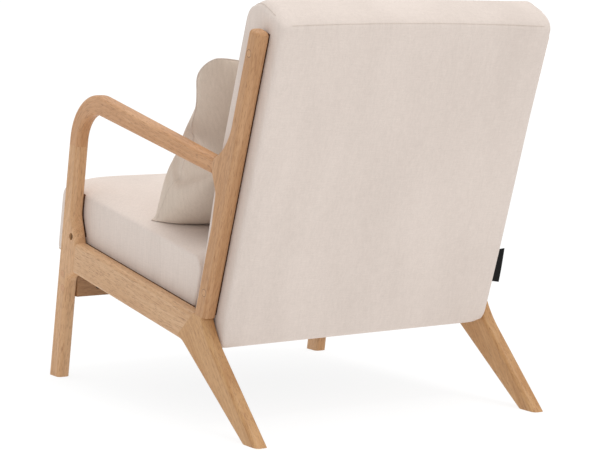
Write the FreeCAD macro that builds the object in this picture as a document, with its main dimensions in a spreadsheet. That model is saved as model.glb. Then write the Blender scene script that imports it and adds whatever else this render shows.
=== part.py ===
import FreeCAD, Part
import math
import os

# Wooden lounge armchair: two side frames of 26 mm hardwood, an upholstered seat box and an
# upholstered back between them, and a loose lumbar pillow. Millimetres, +Z up, origin on the
# floor under the middle of the chair. The sitter faces -Y, and +X is the sitter's left.

Vector = FreeCAD.Vector
Rotation = FreeCAD.Rotation
Placement = FreeCAD.Placement

os.makedirs("parts", exist_ok=True)
doc = FreeCAD.newDocument("armchair")

# ---------------------------------------------------------------- driving dimensions

DIMENSIONS = {
    # side frame, drawn in the YZ plane
    "overall_width": 640.0,
    "stock_thickness": 26.0,
    "edge_round": 8.0,
    "front_foot_front": -367.0,
    "front_leg_lean": 8.9,
    "front_foot_depth": 40.0,
    "front_leg_top_depth": 36.0,
    "arm_top_height": 524.1,
    "arm_top_fall": 11.2,
    "arm_under_height": 489.1,
    "arm_under_fall": 10.1,
    "arm_bend_outer": 104.0,
    "arm_bend_inner": 66.0,
    "rail_top_height": 229.0,
    "rail_fall": 9.3,
    "rail_depth": 61.0,
    "rail_front": -262.0,
    "upright_rear_at_floor": 143.4,
    "upright_lean": 17.0,
    "upright_top_depth": 31.0,
    "upright_foot_depth": 35.5,
    "upright_top_height": 698.0,
    "rear_foot_rear": 377.0,
    "rear_foot_depth": 50.0,
    "rear_leg_splay": 45.0,
    "rear_leg_under_slope": 36.0,
    # upholstered seat box, drawn in its own tilted plane
    "seat_front": -389.0,
    "seat_base_height": 244.4,
    "seat_tilt": 9.2,
    "seat_thickness": 142.0,
    "seat_length": 496.3,
    "seat_back_angle": 7.6,
    "cushion_half_width": 291.0,
    # upholstered back, drawn in its own tilted plane
    "back_base_rear": 220.1,
    "back_base_height": 148.7,
    "back_tilt": 16.8,
    "back_length": 588.0,
    "back_peak": 607.0,
    "back_thickness": 118.0,
    # upholstery and inner frames
    "cover_thickness": 1.2,
    "cover_round": 4.0,
    "frame_stock": 25.0,
    "seat_frame_height": 64.0,
    "back_frame_depth": 60.0,
    "back_frame_height": 40.0,
    "webbing_width": 50.0,
    "webbing_thickness": 2.0,
    "spring_wire": 3.6,
    "spring_pitch": 24.0,
    "spring_bar": 32.0,
    # cross rails
    "apron_front": -325.0,
    "apron_thickness": 24.0,
    "apron_base": 161.0,
    "apron_height": 64.0,
    "cross_rail_front": 140.0,
    "cross_rail_base": 141.0,
    "cross_rail_section": 24.0,
    # hardware
    "bolt_shank": 6.0,
    "bolt_head": 10.0,
    "bolt_head_height": 5.0,
    "bolt_socket": 5.0,
    "bolt_clearance": 6.6,
    "washer_outer": 12.0,
    "washer_thickness": 1.2,
    "counterbore": 14.0,
    "counterbore_depth": 12.0,
    "plug_height": 4.5,
    "insert_outer": 10.0,
    "insert_length": 15.0,
    "barrel_nut": 10.0,
    "dowel": 8.0,
    "dowel_length": 36.0,
    # loose pillow
    "pillow_width": 490.0,
    "pillow_height": 372.0,
    "pillow_thickness": 132.0,
    "pillow_round": 62.0,
    "pillow_lean": 33.0,
    "pillow_yaw": -6.0,
}

sheet = doc.addObject("Spreadsheet::Sheet", "Sizes")
for row, (name, value) in enumerate(DIMENSIONS.items(), start=1):
    sheet.set(f"A{row}", name)
    sheet.set(f"B{row}", str(value))
    sheet.setAlias(f"B{row}", name)
doc.recompute()


def size(name):
    return float(sheet.get(name))


# ---------------------------------------------------------------- plane geometry

def along(angle):
    """Unit direction in the YZ plane; the angle is counted from +Y towards +Z, in degrees."""
    return Vector(math.cos(math.radians(angle)), math.sin(math.radians(angle)), 0)


def left_of(direction):
    return Vector(-direction.y, direction.x, 0)


def crossing(point_a, direction_a, point_b, direction_b):
    """The point where two straight lines of one plane meet."""
    span = point_b - point_a
    scale = direction_a.x * direction_b.y - direction_a.y * direction_b.x
    run = (span.x * direction_b.y - span.y * direction_b.x) / scale
    return point_a + direction_a * run


def outline_edges(corners):
    """Lines and tangent arcs through corner points, each given as (point, radius)."""
    stretches = []
    count = len(corners)
    for index, (point, radius) in enumerate(corners):
        to_last = (corners[index - 1][0] - point).normalize()
        to_next = (corners[(index + 1) % count][0] - point).normalize()
        if radius == 0:
            stretches.append((point, None, point))
            continue
        half_angle = to_last.getAngle(to_next) / 2
        cut = radius / math.tan(half_angle)
        bisector = (to_last + to_next).normalize()
        middle = point + bisector * (radius / math.sin(half_angle) - radius)
        stretches.append((point + to_last * cut, middle, point + to_next * cut))
    edges = []
    for index, (start, middle, end) in enumerate(stretches):
        if middle is not None:
            edges.append(Part.Arc(start, middle, end))
        following = stretches[(index + 1) % count][0]
        if (following - end).Length > 0.001:
            edges.append(Part.LineSegment(end, following))
    return edges


def arrival_corner(point, line, radius):
    """The corner of an arc that leaves a line tangentially and ends at the point.

    The arc turns clockwise from the line's own direction.
    """
    offset = point - line[0]
    depth = abs(line[1].x * offset.y - line[1].y * offset.x)
    heading = math.degrees(math.atan2(line[1].y, line[1].x))
    turn = math.degrees(math.acos(1 - depth / radius))
    return crossing(point, along(heading - turn), *line)


def inset(corners, gap):
    """The same outline, drawn gap further in; its corners run anticlockwise."""
    count = len(corners)
    moved = []
    for index, (point, radius) in enumerate(corners):
        came = (point - corners[index - 1][0]).normalize()
        goes = (corners[(index + 1) % count][0] - point).normalize()
        corner = crossing(point + left_of(came) * gap, came, point + left_of(goes) * gap, goes)
        moved.append((corner, max(radius - gap, 0)))
    return moved


# ---------------------------------------------------------------- document helpers

nodes = []


def node(piece, label):
    """Name a finished sub-part, which is exported under this label."""
    piece.Label = label
    nodes.append(piece)
    return piece


def bind(piece, **formulas):
    for property_name, formula in formulas.items():
        piece.setExpression(property_name, formula)


def cells(formula):
    """Write a sheet formula with bare names, such as 'bolt_head / 2'."""
    words = formula.split(" ")
    return " ".join("Sizes." + word if word in DIMENSIONS else word for word in words)


def plane_sketch(body, role, name):
    sketch = body.newObject("Sketcher::SketchObject", name)
    plane = [item for item in body.Origin.OriginFeatures if item.Role == role][0]
    sketch.AttachmentSupport = (plane, [""])
    sketch.MapMode = "FlatFace"
    return sketch


def padded_outline(name, corners, length_formula, round_formula=None, sharp=(), placement=None):
    """A body padded along +X from a YZ outline, with its two rims rounded.

    The rims stay sharp along the outline's stretches whose index is in sharp; a stretch is
    counted from the corner that it starts at.
    """
    body = doc.addObject("PartDesign::Body", name)
    sketch = plane_sketch(body, "YZ_Plane", name + "_outline")
    for edge in outline_edges(corners):
        sketch.addGeometry(edge, False)
    pad = body.newObject("PartDesign::Pad", name + "_pad")
    pad.Profile = sketch
    bind(pad, Length=cells(length_formula))
    doc.recompute()
    if round_formula:
        fillet = body.newObject("PartDesign::Fillet", name + "_round")
        fillet.Base = (pad, rim_edges(pad.Shape, corners, sharp))
        bind(fillet, Radius=cells(round_formula))
    if placement:
        body.Placement = placement
    doc.recompute()
    return body


def rim_edges(shape, corners, sharp):
    """Names of the edges around a pad's two flat ends, without those on the sharp stretches."""
    count = len(corners)
    names = []
    for number, edge in enumerate(shape.Edges, start=1):
        ends = [vertex.Point.x for vertex in edge.Vertexes]
        if max(ends) - min(ends) > 0.001:
            continue
        middle = edge.valueAt((edge.FirstParameter + edge.LastParameter) / 2)
        spot = Vector(middle.y, middle.z, 0)
        on_sharp = False
        for index in sharp:
            start = corners[index][0]
            end = corners[(index + 1) % count][0]
            near = (spot - start).Length + (spot - end).Length
            if near - (end - start).Length < 0.01:
                on_sharp = True
        if not on_sharp:
            names.append(f"Edge{number}")
    return names


def cylinder(name, radius_formula, height_formula, centre, direction):
    piece = doc.addObject("Part::Cylinder", name)
    bind(piece, Radius=cells(radius_formula), Height=cells(height_formula))
    piece.Placement = Placement(centre, Rotation(Vector(0, 0, 1), direction))
    return piece


def box(name, length_formula, width_formula, height_formula, corner):
    piece = doc.addObject("Part::Box", name)
    bind(piece, Length=cells(length_formula), Width=cells(width_formula),
         Height=cells(height_formula))
    piece.Placement = Placement(corner, Rotation())
    return piece


def group(name, members):
    piece = doc.addObject("Part::Compound", name)
    piece.Links = members
    return piece


def minus(name, base, tools):
    """The base with every tool cut out of it."""
    piece = doc.addObject("Part::Cut", name)
    piece.Base = base
    piece.Tool = tools[0]
    if len(tools) > 1:
        piece.Tool = doc.addObject("Part::MultiFuse", name + "_tools")
        piece.Tool.Shapes = tools
    return piece



SIDES = (("left", 1), ("right", -1))
half_width = size("overall_width") / 2
stock = size("stock_thickness")
inner_face = half_width - stock


def side_placement(side):
    """Puts a side frame's piece, padded from x = 0, between the inner and outer faces."""
    return Placement(Vector(inner_face if side > 0 else -half_width, 0, 0), Rotation())


# ---------------------------------------------------------------- side frame lines

front_line = (Vector(size("front_foot_front"), 0, 0), along(90 - size("front_leg_lean")))
leg_taper = math.degrees(math.atan(
    (size("front_foot_depth") - size("front_leg_top_depth")) / size("arm_under_height")))
front_leg_rear_line = (
    Vector(size("front_foot_front") + size("front_foot_depth"), 0, 0),
    along(90 - size("front_leg_lean") + leg_taper))
arm_top_line = (Vector(0, size("arm_top_height"), 0), along(-size("arm_top_fall")))
arm_under_line = (Vector(0, size("arm_under_height"), 0), along(-size("arm_under_fall")))
rail_direction = along(-size("rail_fall"))
rail_top_line = (Vector(0, size("rail_top_height"), 0), rail_direction)
rail_under_line = (rail_top_line[0] - left_of(rail_direction) * size("rail_depth"),
                   rail_direction)
upright_direction = along(90 - size("upright_lean"))
upright_rear_line = (Vector(size("upright_rear_at_floor"), 0, 0), upright_direction)


def upright_front_line(depth_name):
    offset = left_of(upright_direction) * size(depth_name)
    return (upright_rear_line[0] + offset, upright_direction)


# The leg and the arm meet across a seam square to the leg, just below the bend.
arm_corner = crossing(*front_line, *arm_top_line)
bend_turn = math.radians(90 - size("front_leg_lean") + size("arm_top_fall"))
seam_below_corner = size("arm_bend_outer") * math.tan(bend_turn / 2) + 10
seam_front = arm_corner - front_line[1] * seam_below_corner
seam_rear = crossing(seam_front, left_of(front_line[1]), *front_leg_rear_line)

# The rail butts against a shoulder on the leg, square to the rail.
rail_front_top = rail_top_line[0] + rail_direction * (
    size("rail_front") / rail_direction.x)
rail_front_under = crossing(rail_front_top, left_of(rail_direction), *rail_under_line)

# ---------------------------------------------------------------- wooden side pieces

SHOULDER_RISE = 48
SHOULDER_DROP = 16
SHOULDER_ROUND_ABOVE = 45
SHOULDER_ROUND_BELOW = 14

shoulder_above = crossing(
    rail_front_top + left_of(rail_direction) * SHOULDER_RISE, rail_direction,
    *front_leg_rear_line)
shoulder_below = crossing(
    rail_front_under - left_of(rail_direction) * SHOULDER_DROP, rail_direction,
    *front_leg_rear_line)
foot_front = front_line[0]
foot_rear = front_leg_rear_line[0]

front_leg_outline = [
    (foot_front, 0),
    (foot_rear, 0),
    (shoulder_below, SHOULDER_ROUND_BELOW),
    (rail_front_under, 0),
    (rail_front_top, 0),
    (shoulder_above, SHOULDER_ROUND_ABOVE),
    (seam_rear, 0),
    (seam_front, 0),
]

# The arm ends square against the boss of the back upright.
BOSS_TOP = 222.0
arm_end_top = arm_top_line[0] + arm_top_line[1] * (BOSS_TOP / arm_top_line[1].x)
arm_end_under = crossing(arm_end_top, left_of(arm_top_line[1]), *arm_under_line)
arm_inner_corner = crossing(*front_leg_rear_line, *arm_under_line)

armrest_outline = [
    (seam_front, 0),
    (seam_rear, 0),
    (arm_inner_corner, size("arm_bend_inner")),
    (arm_end_under, 0),
    (arm_end_top, 0),
    (arm_corner, size("arm_bend_outer")),
]

# The rail runs to a slanting seam with the rear leg, under the front of the upright.
upright_foot_front = crossing(*upright_front_line("upright_foot_depth"), *rail_top_line)
upright_foot_rear = crossing(*upright_rear_line, *rail_top_line)
leg_under_line = (
    Vector(size("rear_foot_rear") - size("rear_foot_depth"), 0, 0),
    along(180 - size("rear_leg_under_slope")))
bend_corner = crossing(*rail_under_line, *leg_under_line)
LEG_BEND = 40.0
LEG_BEND_START = 16.0
rail_rear_under = bend_corner - rail_direction * LEG_BEND_START

side_rail_outline = [
    (rail_front_under, 0),
    (rail_rear_under, 0),
    (upright_foot_front, 0),
    (rail_front_top, 0),
]

# The rear leg sweeps back from just in front of the upright's rear edge.
LEG_RECESS = 5.0
LEG_SWEEP = 195.0
leg_head_rear = upright_foot_rear - rail_direction * LEG_RECESS
leg_rear_line = (Vector(size("rear_foot_rear"), 0, 0), along(90 + size("rear_leg_splay")))
leg_sweep_corner = arrival_corner(leg_head_rear, leg_rear_line, LEG_SWEEP)

rear_leg_outline = [
    (leg_under_line[0], 0),
    (leg_rear_line[0], 0),
    (leg_sweep_corner, LEG_SWEEP),
    (leg_head_rear, 0),
    (upright_foot_front, 0),
    (rail_rear_under, 0),
    (bend_corner, LEG_BEND),
]

# The upright widens into a boss for the arm, hooked above it and waisted below it.
HOOK = 97.0
upright_top = upright_rear_line[0] + upright_direction * (
    size("upright_top_height") / upright_direction.y)
top_front = crossing(upright_top, left_of(upright_direction),
                     *upright_front_line("upright_top_depth"))
hook_corner = arrival_corner(arm_end_top, upright_front_line("upright_top_depth"), HOOK)
waist_front = upright_front_line("upright_foot_depth")
waist = waist_front[0] + upright_direction * (352 / upright_direction.y)
boss_under = arm_end_under + Vector(12, -31, 0)

back_upright_outline = [
    (upright_foot_rear, 0),
    (upright_top, 9.5),
    (top_front, 9.5),
    (hook_corner, HOOK),
    (arm_end_top, 0),
    (arm_end_under, 0),
    (boss_under, 20),
    (waist, 60),
    (upright_foot_front, 0),
]

# ---------------------------------------------------------------- module frames

seat_frame = Placement(
    Vector(0, size("seat_front"), size("seat_base_height")),
    Rotation(Vector(1, 0, 0), -size("seat_tilt")))
back_frame = Placement(
    Vector(0, size("back_base_rear"), size("back_base_height")),
    Rotation(Vector(1, 0, 0), -size("back_tilt")))


def seat_point(x, run, rise):
    """A point of the seat box: run is counted from its front face, rise from its base."""
    return seat_frame.multVec(Vector(x, run, rise))


def back_point(x, run, rise):
    """A point of the back: run is counted from its rear face, rise from its base."""
    return back_frame.multVec(Vector(x, run, rise))


# ---------------------------------------------------------------- fasteners

SEAT_BOLT_RUN = 100.4
SEAT_BOLT_RISE = 55.4
BACK_BOLT_RUN = -44.3
BACK_BOLT_RISES = (83.8, 523.9)
APRON_BOLT_RISES = (18.0, 46.0)
BARREL_NUT_INSET = 46.0

apron_middle = size("apron_front") + size("apron_thickness") / 2


def bolt_centres(side):
    """Where the bolts of one side frame cross its outer face, by what they hold."""
    outer = side * half_width
    seat = seat_point(0, SEAT_BOLT_RUN, SEAT_BOLT_RISE)
    backs = [back_point(0, BACK_BOLT_RUN, rise) for rise in BACK_BOLT_RISES]
    aprons = [Vector(0, apron_middle, size("apron_base") + rise) for rise in APRON_BOLT_RISES]
    return {
        "seat": [Vector(outer, seat.y, seat.z)],
        "back": [Vector(outer, point.y, point.z) for point in backs],
        "apron": [Vector(outer, point.y, point.z) for point in aprons],
    }


def inwards(side):
    return Vector(-side, 0, 0)


def bolt(name, centre, side, grip):
    """A socket-head bolt and its washer, with the head down in the counterbore."""
    into = inwards(side)
    seat_depth = size("counterbore_depth")
    washer_thickness = size("washer_thickness")
    washer_face = centre + into * seat_depth
    head_face = centre + into * (seat_depth - washer_thickness - size("bolt_head_height"))
    head = cylinder(name + "_head", "bolt_head / 2", "bolt_head_height", head_face, into)
    shank_start = centre + into * (seat_depth - washer_thickness)
    shank = cylinder(name + "_shank", "bolt_shank / 2", f"{grip}", shank_start, into)
    body = doc.addObject("Part::Fuse", name + "_body")
    body.Base = head
    body.Tool = shank
    socket = doc.addObject("Part::Prism", name + "_socket")
    socket.Polygon = 6
    bind(socket, Circumradius=cells("bolt_socket / 2"), Height=cells("bolt_head_height / 2"))
    socket.Placement = Placement(head_face, Rotation(Vector(0, 0, 1), into))
    whole = doc.addObject("Part::Cut", name)
    whole.Base = body
    whole.Tool = socket
    disc = cylinder(name + "_disc", "washer_outer / 2", "washer_thickness",
                    washer_face, inwards(-side))
    bore = cylinder(name + "_bore", "bolt_shank / 2", "washer_thickness",
                    washer_face, inwards(-side))
    washer = doc.addObject("Part::Cut", name + "_washer")
    washer.Base = disc
    washer.Tool = bore
    return whole, washer


def bolt_hole(name, centre, side, depth_formula):
    """Counterbore and clearance hole, as two cutters end to end."""
    into = inwards(side)
    wide = cylinder(name + "_wide", "counterbore / 2", "counterbore_depth", centre, into)
    narrow = cylinder(name + "_narrow", "bolt_clearance / 2", depth_formula,
                      centre + into * size("counterbore_depth"), into)
    return [wide, narrow]


def plug(name, centre, side):
    return cylinder(name, "counterbore / 2", "plug_height", centre, inwards(side))


def insert_nut(name, centre, side, start):
    """A threaded sleeve let into an inner frame's side rail, start below the outer face."""
    into = inwards(side)
    face = centre + into * start
    sleeve = cylinder(name + "_sleeve", "insert_outer / 2", "insert_length", face, into)
    bore = cylinder(name + "_thread", "bolt_shank / 2", "insert_length", face, into)
    nut = doc.addObject("Part::Cut", name)
    nut.Base = sleeve
    nut.Tool = bore
    return nut


cover_inside = size("cushion_half_width") - size("cover_thickness")
rail_face = cover_inside - 0.3
insert_start = half_width - rail_face
bolt_reach = insert_start + size("insert_length") - size("counterbore_depth") + 2
apron_reach = half_width - inner_face + BARREL_NUT_INSET + 6 - size("counterbore_depth")

bolts = {"seat": [], "back": [], "apron": []}
washers = []
plugs = {"back": [], "apron": []}
inserts = {"seat": [], "back": []}
barrel_nuts = []

for side_name, side in SIDES:
    for kind, centres in bolt_centres(side).items():
        for number, centre in enumerate(centres, start=1):
            name = f"{kind}_{side_name}_{number}"
            reach = apron_reach if kind == "apron" else bolt_reach
            screw, washer = bolt(name + "_bolt", centre, side, reach)
            bolts[kind].append(screw)
            washers.append(washer)
            if kind in plugs:
                plugs[kind].append(plug(name + "_plug", centre, side))
            if kind in inserts:
                inserts[kind].append(insert_nut(name + "_insert", centre, side, insert_start))
                continue
            nut_centre = centre + inwards(side) * (stock + BARREL_NUT_INSET)
            nut_face = Vector(nut_centre.x, size("apron_front") + size("apron_thickness"),
                              nut_centre.z)
            drum = cylinder(name + "_drum", "barrel_nut / 2", "apron_thickness * 0.8",
                            nut_face, Vector(0, -1, 0))
            thread = cylinder(name + "_cross", "bolt_shank / 2", "barrel_nut + 4",
                              nut_centre + inwards(-side) * 7, inwards(side))
            nut = doc.addObject("Part::Cut", name + "_nut")
            nut.Base = drum
            nut.Tool = thread
            barrel_nuts.append(nut)

# ---------------------------------------------------------------- dowels


def dowel_pair(name, x_centre, seam_start, seam_end, direction):
    """Two dowels across a seam, at a third and two thirds of its length."""
    pair = []
    for number, share in enumerate((0.3, 0.7), start=1):
        spot = seam_start + (seam_end - seam_start) * share
        centre = Vector(x_centre, spot.x, spot.y)
        run = Vector(0, direction.x, direction.y)
        start = centre - run * (size("dowel_length") / 2)
        pair.append(cylinder(f"{name}_{number}", "dowel / 2", "dowel_length", start, run))
    return pair


dowels = {"armrest": [], "rail": [], "upright": [], "cross_rail": []}
side_dowels = {}
rail_end_direction = left_of((upright_foot_front - rail_rear_under).normalize())
for side_name, side in SIDES:
    x_centre = side * (half_width - stock / 2)
    leg_arm = dowel_pair(f"leg_arm_{side_name}", x_centre, seam_front, seam_rear, front_line[1])
    arm_end = dowel_pair(f"arm_end_{side_name}", x_centre, arm_end_under, arm_end_top,
                         arm_top_line[1])
    rail_front = dowel_pair(f"rail_front_{side_name}", x_centre, rail_front_under,
                            rail_front_top, rail_direction)
    rail_rear = dowel_pair(f"rail_rear_{side_name}", x_centre, rail_rear_under,
                           upright_foot_front, rail_end_direction)
    upright_foot = dowel_pair(f"upright_foot_{side_name}", x_centre, upright_foot_front,
                              leg_head_rear, left_of(rail_direction))
    dowels["armrest"] += leg_arm + arm_end
    dowels["rail"] += rail_front + rail_rear
    dowels["upright"] += upright_foot
    rail_end = []
    for number, share in enumerate((0.28, 0.72), start=1):
        start = Vector(side * (inner_face - size("dowel_length") / 2),
                       size("cross_rail_front") + size("cross_rail_section") * share,
                       size("cross_rail_base") + size("cross_rail_section") * share)
        rail_end.append(cylinder(f"cross_rail_{side_name}_{number}", "dowel / 2",
                                 "dowel_length", start, Vector(side, 0, 0)))
    dowels["cross_rail"] += rail_end
    side_dowels[side] = {
        "front_leg": leg_arm + rail_front,
        "armrest": leg_arm + arm_end,
        "side_rail": rail_front + rail_rear,
        "rear_leg": rail_rear + upright_foot + rail_end,
        "back_upright": arm_end + upright_foot,
    }

# ---------------------------------------------------------------- side frames, drilled

SIDE_PIECES = {
    "front_leg": (front_leg_outline, (0, 3, 6)),
    "armrest": (armrest_outline, (0, 3)),
    "side_rail": (side_rail_outline, (1, 3)),
    "rear_leg": (rear_leg_outline, (0, 3, 4)),
    "back_upright": (back_upright_outline, (4, 8)),
}

for side_name, side in SIDES:
    centres = bolt_centres(side)
    drills = {
        "front_leg": bolt_hole(f"seat_{side_name}_hole", centres["seat"][0], side,
                               "stock_thickness - counterbore_depth"),
        "back_upright": [],
    }
    for number, centre in enumerate(centres["apron"], start=1):
        drills["front_leg"] += bolt_hole(f"apron_{side_name}_{number}_hole", centre, side,
                                         "stock_thickness - counterbore_depth")
    for number, centre in enumerate(centres["back"], start=1):
        drills["back_upright"] += bolt_hole(f"back_{side_name}_{number}_hole", centre, side,
                                            "stock_thickness - counterbore_depth")
    for piece_name, (corners, sharp) in SIDE_PIECES.items():
        blank = padded_outline(f"{piece_name}_{side_name}_blank", corners, "stock_thickness",
                               "edge_round", sharp, side_placement(side))
        cutters = side_dowels[side][piece_name] + drills.get(piece_name, [])
        piece = minus(f"{piece_name}_{side_name}_piece", blank, cutters)
        node(piece, f"{piece_name}_{side_name}")

# ---------------------------------------------------------------- cross rails

apron_blank = box("apron_blank", "overall_width - 2 * stock_thickness", "apron_thickness",
                  "apron_height", Vector(-inner_face, size("apron_front"), size("apron_base")))
apron_cutters = []
for side_name, side in SIDES:
    for number, centre in enumerate(bolt_centres(side)["apron"], start=1):
        start = centre + inwards(side) * stock
        apron_cutters.append(cylinder(
            f"apron_{side_name}_{number}_bore", "bolt_clearance / 2", f"{BARREL_NUT_INSET + 9}",
            start, inwards(side)))
        nut_centre = start + inwards(side) * BARREL_NUT_INSET
        nut_face = Vector(nut_centre.x, size("apron_front") + size("apron_thickness"),
                          nut_centre.z)
        apron_cutters.append(cylinder(
            f"apron_{side_name}_{number}_seat", "barrel_nut / 2", "apron_thickness * 0.8",
            nut_face, Vector(0, -1, 0)))
node(minus("apron_piece", apron_blank, apron_cutters), "front_apron")

cross_blank = box("cross_rail_blank", "overall_width - 2 * stock_thickness",
                  "cross_rail_section", "cross_rail_section",
                  Vector(-inner_face, size("cross_rail_front"), size("cross_rail_base")))
node(minus("cross_rail_piece", cross_blank, dowels["cross_rail"]), "rear_cross_rail")

# ---------------------------------------------------------------- upholstery helpers


def cushion_body(name, corners, gap, frame, sharp=()):
    """A soft block of the given side outline, gap inside the cushion's outer sides."""
    half = size("cushion_half_width") - gap
    start = frame.multiply(Placement(Vector(-half, 0, 0), Rotation()))
    return padded_outline(name, corners, f"2 * ( cushion_half_width - {gap} )",
                          f"cover_round - {gap}", sharp, start)


def framed_box(name, frame, low, high):
    """A box between two corners given in a module's frame."""
    span = high - low
    piece = doc.addObject("Part::Box", name)
    piece.Length = span.x
    piece.Width = span.y
    piece.Height = span.z
    piece.Placement = frame.multiply(Placement(low, Rotation()))
    return piece


def bolt_passage(name, centre, side):
    """A cutter through a cover's side wall, where a bolt goes in."""
    start = centre + inwards(side) * (half_width - size("cushion_half_width") - 2)
    return cylinder(name, "bolt_clearance / 2", "cover_thickness + 4", start, inwards(side))


def rail_cutters(kind, side_name, side):
    """Cutters in an inner side rail: the insert's seat and the room past the bolt's end."""
    cutters = []
    for number, centre in enumerate(bolt_centres(side)[kind], start=1):
        face = centre + inwards(side) * insert_start
        end = centre + inwards(side) * (insert_start + size("insert_length"))
        label = f"{kind}_{side_name}_{number}"
        cutters.append(cylinder(label + "_socket_bore", "insert_outer / 2", "insert_length",
                                face, inwards(side)))
        cutters.append(cylinder(label + "_end_bore", "bolt_clearance / 2", "4", end,
                                inwards(side)))
    return cutters


# ---------------------------------------------------------------- seat box

frame_stock = size("frame_stock")
seat_length = size("seat_length")
seat_thickness = size("seat_thickness")
lean = math.tan(math.radians(size("seat_back_angle")))
skin = size("cover_thickness")

seat_outline = [
    (Vector(0, 0, 0), 6),
    (Vector(seat_length, 0, 0), 6),
    (Vector(seat_length + seat_thickness * lean, seat_thickness, 0), 12),
    (Vector(0, seat_thickness, 0), 26),
]
seat_inner = inset(seat_outline, skin)
seat_inner_open = [
    (Vector(skin, -5, 0), 0),
    (Vector(seat_length - skin - 5 * lean, -5, 0), 0),
    seat_inner[2],
    seat_inner[3],
]
seat_cover_outer = cushion_body("seat_cover_outer", seat_outline, 0.0, seat_frame)
seat_cover_inner = cushion_body("seat_cover_inner", seat_inner_open, skin, seat_frame, (0,))
seat_passages = [bolt_passage(f"seat_{side_name}_passage", bolt_centres(side)["seat"][0], side)
                 for side_name, side in SIDES]
seat_shell = doc.addObject("Part::Cut", "seat_shell")
seat_shell.Base = seat_cover_outer
seat_shell.Tool = seat_cover_inner
node(minus("seat_cover_piece", seat_shell, seat_passages), "seat_cover")

RAIL_BASE = 1.5
seat_rail_top = RAIL_BASE + size("seat_frame_height")
seat_rail_end = seat_length - 3.5
inner_rail_face = rail_face - frame_stock

node(framed_box("seat_front_rail", seat_frame, Vector(-inner_rail_face, 1.5, RAIL_BASE),
                Vector(inner_rail_face, 1.5 + frame_stock, seat_rail_top)), "seat_frame_front")
node(framed_box("seat_rear_rail", seat_frame,
                Vector(-inner_rail_face, seat_rail_end - frame_stock, RAIL_BASE),
                Vector(inner_rail_face, seat_rail_end, seat_rail_top)), "seat_frame_rear")
for side_name, side in SIDES:
    edges = sorted((side * inner_rail_face, side * rail_face))
    blank = framed_box(f"seat_{side_name}_rail", seat_frame, Vector(edges[0], 3.5, RAIL_BASE),
                       Vector(edges[1], seat_rail_end, seat_rail_top))
    node(minus(f"seat_{side_name}_rail_piece", blank, rail_cutters("seat", side_name, side)),
         f"seat_frame_{side_name}")

# A glued corner block stands in each inner corner of the seat frame.
BLOCK_LEG = 45.0
BLOCK_HEIGHT = 40.0
corner_blocks = []
for side_name, side in SIDES:
    for end_name, run, turn in (("front", 1.5 + frame_stock, 1),
                                ("rear", seat_rail_end - frame_stock, -1)):
        apex = Vector(side * inner_rail_face, run, RAIL_BASE + 6)
        triangle = Part.makePolygon([
            apex,
            apex + Vector(-side * BLOCK_LEG, 0, 0),
            apex + Vector(0, turn * BLOCK_LEG, 0),
            apex,
        ])
        block = doc.addObject("Part::Feature", f"corner_block_{end_name}_{side_name}")
        block.Shape = Part.Face(triangle).extrude(Vector(0, 0, BLOCK_HEIGHT))
        block.Placement = seat_frame
        corner_blocks.append(block)
node(group("corner_block_group", corner_blocks), "seat_corner_blocks")

# Five sinuous springs run front to back on top of the frame, each end held by a clip.
wire_radius = size("spring_wire") / 2
CLIP_WALL = 0.7
spring_level = seat_rail_top + CLIP_WALL + wire_radius
SPRING_START = 14.0
SPRING_XS = (-200, -100, 0, 100, 200)
pitch = size("spring_pitch")
BAR_COUNT = int((seat_rail_end - 2 * SPRING_START) / pitch) + 1
CLIP_SIZE = Vector(18, 10, 2 * (wire_radius + CLIP_WALL))


def sinuous_spring(x_centre):
    """Straight bars across the seat, joined by half circles, swept with a round wire."""
    half_bar = size("spring_bar") / 2
    edges = []
    for index in range(BAR_COUNT):
        run = SPRING_START + index * pitch
        turn = 1 if index % 2 == 0 else -1
        start = Vector(x_centre - turn * half_bar, run, spring_level)
        end = Vector(x_centre + turn * half_bar, run, spring_level)
        edges.append(Part.LineSegment(start, end).toShape())
        if index < BAR_COUNT - 1:
            middle = end + Vector(turn * pitch / 2, pitch / 2, 0)
            edges.append(Part.Arc(end, middle, end + Vector(0, pitch, 0)).toShape())
    path = Part.Wire(edges)
    first = edges[0].Vertexes[0].Point
    ring = Part.Wire(Part.makeCircle(wire_radius, first, Vector(1, 0, 0)))
    return path.makePipeShell([ring], True, True)


springs = []
clips = []
for x_centre in SPRING_XS:
    label = f"spring_{SPRING_XS.index(x_centre) + 1}"
    spring = doc.addObject("Part::Feature", label)
    spring.Shape = sinuous_spring(x_centre)
    spring.Placement = seat_frame
    springs.append(spring)
    for end_name, index in (("front", 0), ("rear", BAR_COUNT - 1)):
        run = SPRING_START + index * pitch
        low = Vector(x_centre - CLIP_SIZE.x / 2, run - CLIP_SIZE.y / 2, seat_rail_top)
        blank = framed_box(f"{label}_{end_name}_block", seat_frame, low, low + CLIP_SIZE)
        groove_start = seat_point(x_centre - CLIP_SIZE.x / 2, run, spring_level)
        groove = cylinder(f"{label}_{end_name}_groove", "spring_wire / 2 + 0.1", f"{CLIP_SIZE.x}",
                          groove_start, Vector(1, 0, 0))
        clip = doc.addObject("Part::Cut", f"{label}_{end_name}_clip")
        clip.Base = blank
        clip.Tool = groove
        clips.append(clip)
node(group("spring_group", springs), "seat_springs")
node(group("clip_group", clips), "seat_spring_clips")

foam_base = seat_rail_top + CLIP_SIZE.z
seat_foam_outline = inset(seat_outline, skin + 0.3)
seat_foam_outline[0] = (Vector(skin + 0.3, foam_base, 0), 0)
seat_foam_outline[1] = (
    Vector(seat_length - skin - 0.4 + foam_base * lean, foam_base, 0), 0)
node(cushion_body("seat_foam_block", seat_foam_outline, skin + 0.3, seat_frame), "seat_foam")

node(framed_box("seat_dust_sheet", seat_frame, Vector(-rail_face + 2, 3, 0.3),
                Vector(rail_face - 2, seat_length - 4, RAIL_BASE)), "seat_dust_cover")

# ---------------------------------------------------------------- upholstered back

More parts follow.
